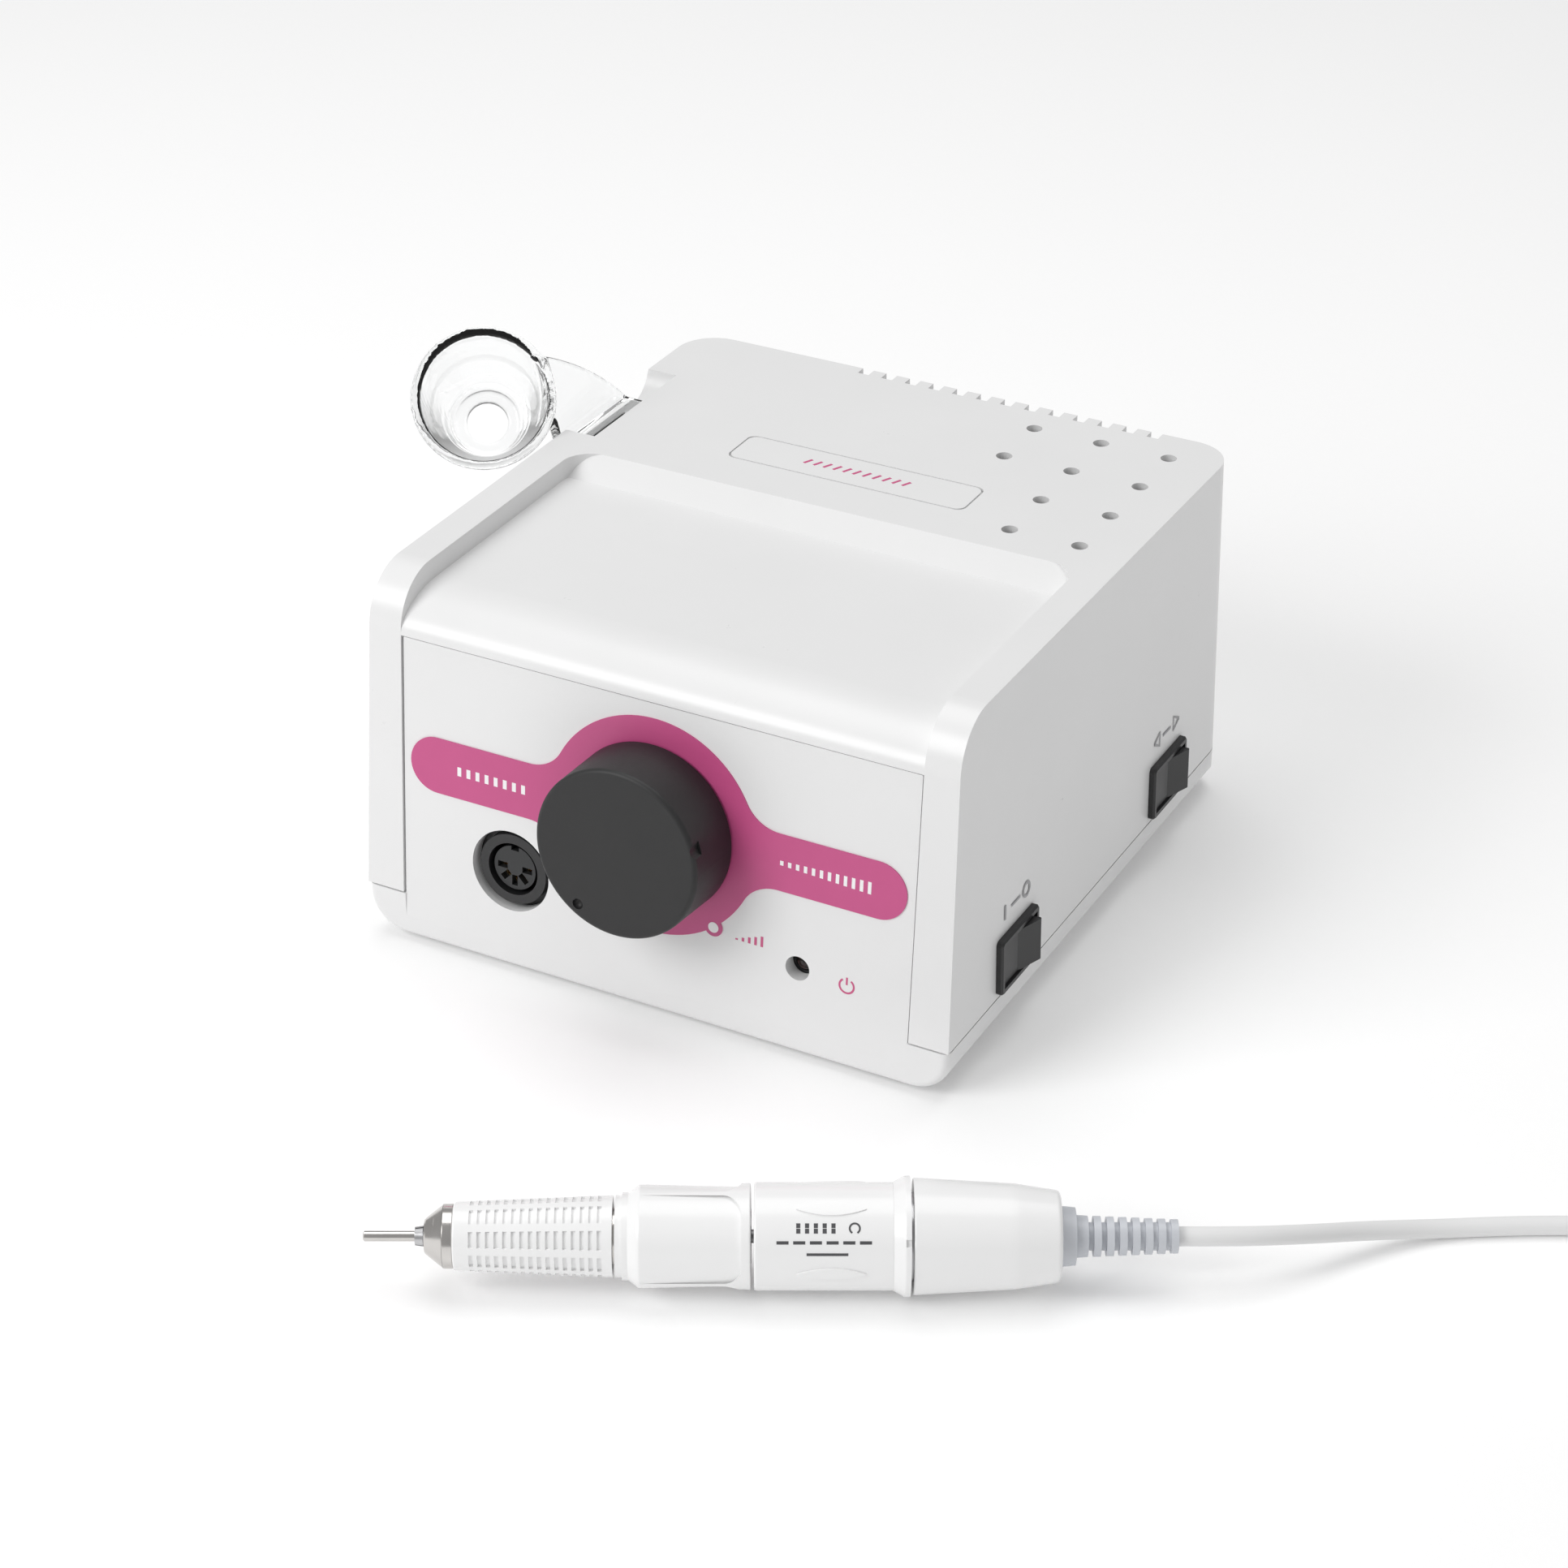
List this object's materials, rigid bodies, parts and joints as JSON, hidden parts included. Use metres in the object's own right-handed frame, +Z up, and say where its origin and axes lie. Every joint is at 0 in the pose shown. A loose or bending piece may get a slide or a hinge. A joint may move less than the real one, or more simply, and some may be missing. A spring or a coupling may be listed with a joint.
{
  "type": "electric nail drill",
  "caption": "White box with a tray top, speed knob, plug socket, side rockers and a clear cup holder; slim handpiece with twist collar on a cord with a round plug.",
  "frame": {"origin": "on the table, under the middle of the control box; the underside of its base is 1.8 mm above it", "axes": "+Z up, -Y toward the user (knob side), +X to the side with the rocker switches"},
  "size_m": [0.4339, 0.2951, 0.1235],
  "materials": {
    "white_shell": "moulded ABS, satin gloss",
    "white_panel": "moulded ABS, satin gloss",
    "pink_film": "printed film",
    "charcoal_knob": "fine matt texture",
    "black_plastic": "moulded, semi-matt",
    "grey_insert": "moulded",
    "brass_contact": "plated",
    "steel": "bright",
    "polished_steel": "polished",
    "lamp": "clear red resin",
    "clear_plastic": "clear acrylic",
    "rubber_black": "matt",
    "board_green": "solder mask",
    "core_steel": "laminated, varnished",
    "winding": "taped",
    "aluminium": "extruded",
    "capacitor_sleeve": "shrink sleeve",
    "white_handpiece": "moulded, satin gloss",
    "magnet": "sintered",
    "carbon": "carbon",
    "grey_boot": "soft, matt",
    "grey_cord": "smooth soft jacket"
  },
  "bodies": {
    "control_box": {"top_cover": "white_shell", "base_and_panel": "white_panel", "rubber_feet": "rubber_black", "case_screws": "steel", "front_decal": "pink_film", "speed_pot_body": "steel", "speed_pot_nut": "steel", "socket_shell": "black_plastic", "socket_insert": "grey_insert", "socket_contacts": "brass_contact", "power_led": "lamp", "led_holder": "black_plastic", "top_label_plate": "white_panel", "mains_inlet": "black_plastic", "mains_inlet_pins": "brass_contact", "fuse_holder": "black_plastic", "transformer_core": "core_steel", "transformer_winding": "winding", "transformer_screws": "steel", "circuit_board": "board_green", "heatsink": "aluminium", "power_transistor": "black_plastic", "filter_capacitor": "capacitor_sleeve", "power_switch_housing": "black_plastic", "power_switch_terminals": "brass_contact", "direction_switch_housing": "black_plastic", "direction_switch_terminals": "brass_contact"},
    "knob": {"speed_knob": "charcoal_knob", "speed_pot_shaft": "aluminium"},
    "power_rocker": {"power_switch_rocker": "black_plastic"},
    "direction_rocker": {"direction_switch_rocker": "black_plastic"},
    "holder": {"handpiece_holder": "clear_plastic"},
    "handpiece": {"nose_cone": "polished_steel", "nose_ring": "polished_steel", "grip_sleeve": "white_handpiece", "front_bearings": "steel", "mid_body": "white_handpiece", "flared_ring": "white_handpiece", "rear_cap": "white_handpiece", "motor_can": "steel", "motor_magnets": "magnet", "motor_bearings": "steel", "motor_brushes": "carbon", "chuck_spring": "steel", "cord_boot": "grey_boot", "handpiece_cord": "grey_cord", "cord_coil": "grey_cord", "plug_boot": "black_plastic", "plug_body": "black_plastic", "plug_shell": "polished_steel", "plug_pins": "brass_contact"},
    "collar": {"twist_collar": "white_handpiece"},
    "cam": {"cam_ring": "steel"},
    "spindle": {"spindle": "steel", "chuck": "steel", "motor_shaft": "steel", "motor_rotor": "core_steel"},
    "bit": {"bit_shank": "polished_steel"}
  },
  "joints": [
    {"name": "knob_turn", "type": "hinge", "parent": "control_box", "child": "knob", "pos_m": [0, -0.08222, 0.0523], "axis": [0, 0.9973, -0.0732], "range_deg": [0, 290]},
    {"name": "power_rock", "type": "hinge", "parent": "control_box", "child": "power_rocker", "pos_m": [0.07783, -0.049, 0.02314], "axis": [-0.0201, 0, 0.9998], "range_deg": [0, 20]},
    {"name": "direction_rock", "type": "hinge", "parent": "control_box", "child": "direction_rocker", "pos_m": [0.07783, 0.043, 0.02314], "axis": [-0.0201, 0, 0.9998], "range_deg": [0, 20]},
    {"name": "holder_lift", "type": "slide", "parent": "control_box", "child": "holder", "axis": [0, 0, 1], "range_m": [0, 0.014]},
    {"name": "handpiece_lift", "type": "slide", "parent": "control_box", "child": "handpiece", "axis": [0, 0, 1], "range_m": [0, 0.15]},
    {"name": "collar_twist", "type": "hinge", "parent": "handpiece", "child": "collar", "pos_m": [0.06043, -0.17274, 0.0132], "axis": [0.8821, 0.471, 0], "range_deg": [0, 50]},
    {"name": "cam_slide", "type": "slide", "parent": "handpiece", "child": "cam", "axis": [0.8821, 0.471, 0], "range_m": [0, 0.00125]},
    {"name": "spindle_spin", "type": "hinge", "parent": "handpiece", "child": "spindle", "pos_m": [0.03396, -0.18687, 0.0132], "axis": [0.8821, 0.471, 0], "continuous": true},
    {"name": "bit_pull", "type": "slide", "parent": "spindle", "child": "bit", "axis": [-0.8821, -0.471, 0], "range_m": [0, 0.028]}
  ],
  "couplings": [
    {"joint": "cam_slide", "follows": "collar_twist", "m_per_rad": 0.0013751}
  ]
}
